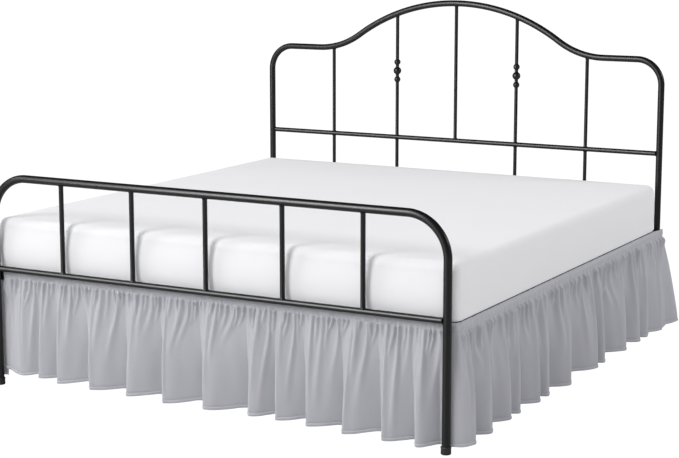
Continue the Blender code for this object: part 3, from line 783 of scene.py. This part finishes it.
def welded_rod(name, node, low, high, radius, profile, metal):
    """A straight rod from the middle line of one tube to that of another, flared a little at both welds.

    profile holds (place, radius) rows between the two ends, for turned knots.
    """
    start, end = Vector(low), Vector(high)
    length = (end - start).length
    weld = [(WELD_LENGTH * place, radius + WELD_FLARE * flare) for place, flare in WELD_PROFILE]
    rows = weld + profile + [(length - place, size) for place, size in reversed(weld)]
    path = [start + (end - start) * place / length for place, _ in rows]
    dress(tube(name, path, [size for _, size in rows], ROD_SIDES, metal), node)


def knot_profile(start_z):
    """Rows of a rod's profile over the three balls of a knot, for a rod that starts at start_z."""
    rows = []
    for height, radius in ((-KNOT_PITCH, KNOT_SMALL), (0.0, KNOT_LARGE), (KNOT_PITCH, KNOT_SMALL)):
        half = math.sqrt(radius ** 2 - HEAD_UPRIGHT_TUBE ** 2)
        for step in range(2 * KNOT_STEPS + 1):
            along = half * math.sin((step / KNOT_STEPS - 1) * math.pi / 2)
            rows.append((KNOT_Z + height + along - start_z, math.sqrt(radius ** 2 - along ** 2)))
    return rows


def footboard(metal):
    bent_tube("footboard_hoop", foot_hoop_half(), 0.0, FOOT_TUBE, metal)
    node, reach, z = "footboard_low_rail", FOOT_POSTS / 2 - FOOT_TUBE, FOOT_RAIL_Z
    welded_rod(f"{node}_tube", node, (-reach, 0, z), (reach, 0, z), FOOT_RAIL_TUBE, [], metal)
    low, high = FOOT_RAIL_Z + FOOT_RAIL_TUBE * UPRIGHT_SEAT, FOOT_TOP_Z - FOOT_TUBE * UPRIGHT_SEAT
    for index in range(FOOT_UPRIGHTS):
        x = FOOT_POSTS * ((index + 1) / (FOOT_UPRIGHTS + 1) - 0.5)
        node = f"footboard_upright_{index + 1}"
        welded_rod(f"{node}_rod", node, (x, 0, low), (x, 0, high), FOOT_UPRIGHT_TUBE, [], metal)


def headboard(metal):
    y = HEADBOARD_Y
    bent_tube("headboard_arch", head_arch_half(), y, HEAD_TUBE, metal)
    reach = HEAD_POSTS / 2 - HEAD_TUBE
    for node, z in (("headboard_cross_bar", CROSS_BAR_Z), ("headboard_low_rail", HEAD_LOW_RAIL_Z)):
        welded_rod(f"{node}_tube", node, (-reach, y, z), (reach, y, z), CROSS_TUBE, [], metal)
    seat = CROSS_TUBE * UPRIGHT_SEAT
    places = (-HEAD_OUTER_UPRIGHT_X, -HEAD_INNER_UPRIGHT_X, 0.0, HEAD_INNER_UPRIGHT_X, HEAD_OUTER_UPRIGHT_X)
    for index, x in enumerate(places):
        node = f"headboard_upright_{index + 1}"
        low, high = CROSS_BAR_Z + seat, arch_height(x) - HEAD_TUBE * UPRIGHT_SEAT
        profile = knot_profile(low) if abs(x) == HEAD_INNER_UPRIGHT_X else []
        welded_rod(f"{node}_rod", node, (x, y, low), (x, y, high), HEAD_UPRIGHT_TUBE, profile, metal)
        if x:
            node = f"headboard_lower_upright_{index + 1}"
            low, high = HEAD_LOW_RAIL_Z + seat, CROSS_BAR_Z - seat
            welded_rod(f"{node}_rod", node, (x, y, low), (x, y, high), HEAD_UPRIGHT_TUBE, [], metal)


def side_rails(metal):
    """Rails with soft edges, set in a little under the mattress so that the band can draw in over them."""
    for side, sign in (("left", -1), ("right", 1)):
        node = f"side_rail_{side}"
        low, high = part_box(node)
        inner = min(abs(low.x), abs(high.x))
        half_x, half_z = (RAIL_FACE_X - inner) / 2, (high.z - low.z) / 2
        outline = rounded_outline(half_x, half_z, RAIL_EDGE, RAIL_EDGE_STEPS, 1)
        middle_x, middle_z = sign * (RAIL_FACE_X + inner) / 2, (high.z + low.z) / 2
        ends = (low.y - FOOTBOARD_Y, high.y - FOOTBOARD_Y)
        rings = [[(x + middle_x, y, z + middle_z) for x, z in outline] for y in ends]
        dress(new_object(f"{node}_bar", rings, ring_faces(2, len(outline)), metal), node)


def foot_caps(plastic):
    """Moulded caps with a slightly wider rim at the top and a rounded sole."""
    under_rim = CAP_HEIGHT - CAP_RIM
    insets = [(0.0, CAP_SOLE), (0.0008, 0.0014), (CAP_SOLE, 0.0006), (under_rim - 0.001, 0.0008),
              (under_rim, 0.0), (CAP_HEIGHT - CAP_EDGE, 0.0), (CAP_HEIGHT, CAP_EDGE)]
    rows = [(z, CAP_RADIUS - inset) for z, inset in insets] + [(CAP_HEIGHT + 0.0002, FOOT_TUBE - 0.003)]
    for end, y, spacing in (("foot", 0.0, FOOT_POSTS), ("head", HEADBOARD_Y, HEAD_POSTS)):
        for side, sign in (("left", -1), ("right", 1)):
            node = f"{end}_cap_{side}"
            path = [Vector((sign * spacing / 2, y, z)) for z, _ in rows]
            made = tube(f"{node}_moulding", path, [radius for _, radius in rows], TUBE_SIDES, plastic)
            dress(made, node)


# --- Materials ---
class Nodes:
    """A material's node tree, with short calls to add nodes to it."""

    def __init__(self, name):
        self.material = bpy.data.materials.new(name)
        self.material.use_nodes = True
        self.tree = self.material.node_tree
        self.shader = self.tree.nodes["Principled BSDF"]

    def add(self, kind, **settings):
        node = self.tree.nodes.new(kind)
        for key, value in settings.items():
            if key in node.inputs:
                node.inputs[key].default_value = value
            else:
                setattr(node, key, value)
        return node

    def link(self, source, target):
        self.tree.links.new(source, target)

    def place(self):
        """Place in the piece's own coordinates."""
        return self.add("ShaderNodeTexCoord").outputs["Object"]

    def math(self, operation, first, second=0.0):
        node = self.add("ShaderNodeMath", operation=operation)
        for socket, value in zip(node.inputs, (first, second)):
            if isinstance(value, (int, float)):
                socket.default_value = value
            else:
                self.link(value, socket)
        return node.outputs[0]

    def noise(self, vector, scale, detail=2.0):
        node = self.add("ShaderNodeTexNoise", Scale=scale, Detail=detail)
        self.link(vector, node.inputs["Vector"])
        return node.outputs["Fac"]

    def bump(self, height, distance, strength=1.0, before=None):
        node = self.add("ShaderNodeBump", Strength=strength, Distance=distance)
        self.link(height, node.inputs["Height"])
        if before is not None:
            self.link(before, node.inputs["Normal"])
        return node.outputs["Normal"]

    def tint(self, factor, low, high):
        """A colour that goes from low to high as factor goes from 0 to 1."""
        node = self.add("ShaderNodeMix", data_type="RGBA")
        self.link(factor, node.inputs[0])
        node.inputs[6].default_value = (*low, 1.0)
        node.inputs[7].default_value = (*high, 1.0)
        return node.outputs[2]

    def feed(self, **sources):
        for key, source in sources.items():
            self.link(source, self.shader.inputs[key.replace("_", " ")])

    def set(self, **values):
        for key, value in values.items():
            self.shader.inputs[key.replace("_", " ")].default_value = value


def woven(nodes, vector, pitch):
    """Height of a plain weave whose threads lie pitch apart, from 0 to 1."""
    split = nodes.add("ShaderNodeSeparateXYZ")
    nodes.link(vector, split.inputs[0])
    threads = []
    for axis in (0, 1):
        wave = nodes.math("SINE", nodes.math("MULTIPLY", split.outputs[axis], math.pi / pitch))
        threads.append(nodes.math("ABSOLUTE", wave))
    return nodes.math("MULTIPLY", threads[0], threads[1])


def skirt_cloth():
    nodes = Nodes("skirt_microfibre")
    lie = nodes.add("ShaderNodeAttribute", attribute_name="lie").outputs["Vector"]
    colour = nodes.tint(nodes.noise(lie, 9.0, 3.0), (0.470, 0.472, 0.511), (0.498, 0.500, 0.538))
    crumple = nodes.bump(nodes.noise(lie, 42.0, 3.0), 0.0016, 0.35)
    weave = nodes.bump(woven(nodes, lie, 0.0007), 0.0002, 0.5, crumple)
    nodes.feed(Base_Color=colour, Normal=weave)
    nodes.set(Roughness=0.86, Sheen_Weight=0.08, Sheen_Roughness=0.45, Specular_IOR_Level=0.22)
    return nodes.material


def mattress_cover():
    nodes = Nodes("mattress_knit")
    place = nodes.place()
    colour = nodes.tint(nodes.noise(place, 3.0, 2.0), (0.860, 0.858, 0.886), (0.880, 0.878, 0.902))
    soft = nodes.bump(nodes.noise(place, 6.0, 2.0), 0.004, 0.35)
    knit = nodes.add("ShaderNodeTexVoronoi", Scale=520.0)
    nodes.link(place, knit.inputs["Vector"])
    nodes.feed(Base_Color=colour, Normal=nodes.bump(knit.outputs["Distance"], 0.0003, 0.4, soft))
    nodes.set(Roughness=0.92, Sheen_Weight=0.15, Sheen_Roughness=0.5, Specular_IOR_Level=0.2)
    return nodes.material


def black_metal():
    nodes = Nodes("black_powder_coat")
    place = nodes.place()
    colour = nodes.tint(nodes.noise(place, 14.0, 3.0), (0.0035, 0.0035, 0.004), (0.006, 0.006, 0.0065))
    orange_peel = nodes.bump(nodes.noise(place, 25.0, 1.0), 0.0003, 0.3)
    rough = nodes.add("ShaderNodeMapRange")
    nodes.link(nodes.noise(place, 60.0, 2.0), rough.inputs["Value"])
    rough.inputs["To Min"].default_value = 0.33
    rough.inputs["To Max"].default_value = 0.38
    nodes.feed(Base_Color=colour, Normal=orange_peel, Roughness=rough.outputs["Result"])
    nodes.set(Specular_IOR_Level=0.36)
    return nodes.material


def cap_plastic():
    nodes = Nodes("black_cap_plastic")
    place = nodes.place()
    colour = nodes.tint(nodes.noise(place, 40.0), (0.016, 0.016, 0.017), (0.022, 0.022, 0.023))
    grain = nodes.bump(nodes.noise(place, 700.0, 2.0), 0.0003, 0.4)
    nodes.feed(Base_Color=colour, Normal=grain)
    nodes.set(Roughness=0.55, Specular_IOR_Level=0.4)
    return nodes.material


def finish_cad_nodes(metal):
    """Frame parts that no piece replaces, all of metal, show as they are."""
    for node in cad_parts.values():
        if node.hide_render:
            continue
        node.data.materials.clear()
        node.data.materials.append(metal)
        for polygon in node.data.polygons:
            polygon.material_index = 0


# --- Stage ---
def floor():
    """White floor, seen as bright as the paper behind it."""
    nodes = Nodes("pale_floor")
    nodes.set(Base_Color=(FLOOR_GREY, FLOOR_GREY, FLOOR_GREY, 1.0), Roughness=0.9, Specular_IOR_Level=0.1)
    glow = nodes.add("ShaderNodeEmission", Color=(1.0, 1.0, 1.0, 1.0), Strength=PAPER_WHITE)
    mix = nodes.add("ShaderNodeMixShader")
    nodes.link(nodes.add("ShaderNodeLightPath").outputs["Is Camera Ray"], mix.inputs[0])
    nodes.link(nodes.shader.outputs[0], mix.inputs[1])
    nodes.link(glow.outputs[0], mix.inputs[2])
    output = next(node for node in nodes.tree.nodes if node.type == "OUTPUT_MATERIAL")
    nodes.link(mix.outputs[0], output.inputs["Surface"])
    corners = [(x * FLOOR_HALF, y * FLOOR_HALF, 0) for x, y in ((-1, -1), (1, -1), (1, 1), (-1, 1))]
    made = new_object("pale_floor", corners, [(0, 1, 2, 3)], nodes.material)
    made.location.z = -FLOOR_GAP


def room_light():
    """Even light from all round, white behind the bed and dim in the metal."""
    world = bpy.data.worlds.new("white_room")
    bpy.context.scene.world = world
    world.use_nodes = True
    tree = world.node_tree
    background = tree.nodes["Background"]
    background.inputs["Color"].default_value = (1.0, 1.0, 1.0, 1.0)
    path = tree.nodes.new("ShaderNodeLightPath")
    strength = None
    for ray, value in (("Is Glossy Ray", ROOM_GLOSS), ("Is Camera Ray", PAPER_WHITE)):
        mix = tree.nodes.new("ShaderNodeMix")
        tree.links.new(path.outputs[ray], mix.inputs["Factor"])
        mix.inputs["A"].default_value = ROOM_LIGHT
        mix.inputs["B"].default_value = value
        if strength is not None:
            tree.links.new(strength, mix.inputs["A"])
        strength = mix.outputs["Result"]
    tree.links.new(strength, background.inputs["Strength"])


def area_light(name, left, up, distance, width, height, power):
    data = bpy.data.lights.new(name, "AREA")
    data.shape = "RECTANGLE"
    data.size = width
    data.size_y = height
    data.energy = power
    lamp = bpy.data.objects.new(name, data)
    left, up = math.radians(left), math.radians(up)
    towards = Vector((-math.sin(left) * math.cos(up), -math.cos(left) * math.cos(up), math.sin(up)))
    lamp.location = Vector(LIGHT_TARGET) + Vector((0.0, FOOTBOARD_Y, 0.0)) + distance * towards
    lamp.rotation_mode = "QUATERNION"
    lamp.rotation_quaternion = (-towards).to_track_quat("-Z", "Y")
    bpy.context.scene.collection.objects.link(lamp)
    return lamp


def lights():
    area_light("key", *KEY)
    area_light("rake", *RAKE)
    area_light("side", *SIDE)
    strip = area_light("strip", *STRIP)      # only for the highlight along the tubes
    strip.visible_diffuse = False


def camera():
    data = bpy.data.cameras.new("camera")
    data.sensor_width = CAMERA_SENSOR
    data.lens = CAMERA_LENS
    made = bpy.data.objects.new("camera", data)
    made.location = Vector(CAMERA_PLACE) + Vector((0.0, FOOTBOARD_Y, 0.0))
    made.rotation_euler = (math.pi / 2 - CAMERA_DIP, 0.0, CAMERA_TURN)
    bpy.context.scene.collection.objects.link(made)
    bpy.context.scene.camera = made


def main():
    bpy.context.scene.view_settings.view_transform = "Standard"
    camera()
    metal = black_metal()
    mattress(mattress_cover())
    footboard(metal)
    headboard(metal)
    side_rails(metal)
    skirt(skirt_cloth())
    foot_caps(cap_plastic())
    finish_cad_nodes(metal)
    floor()
    room_light()
    lights()


main()
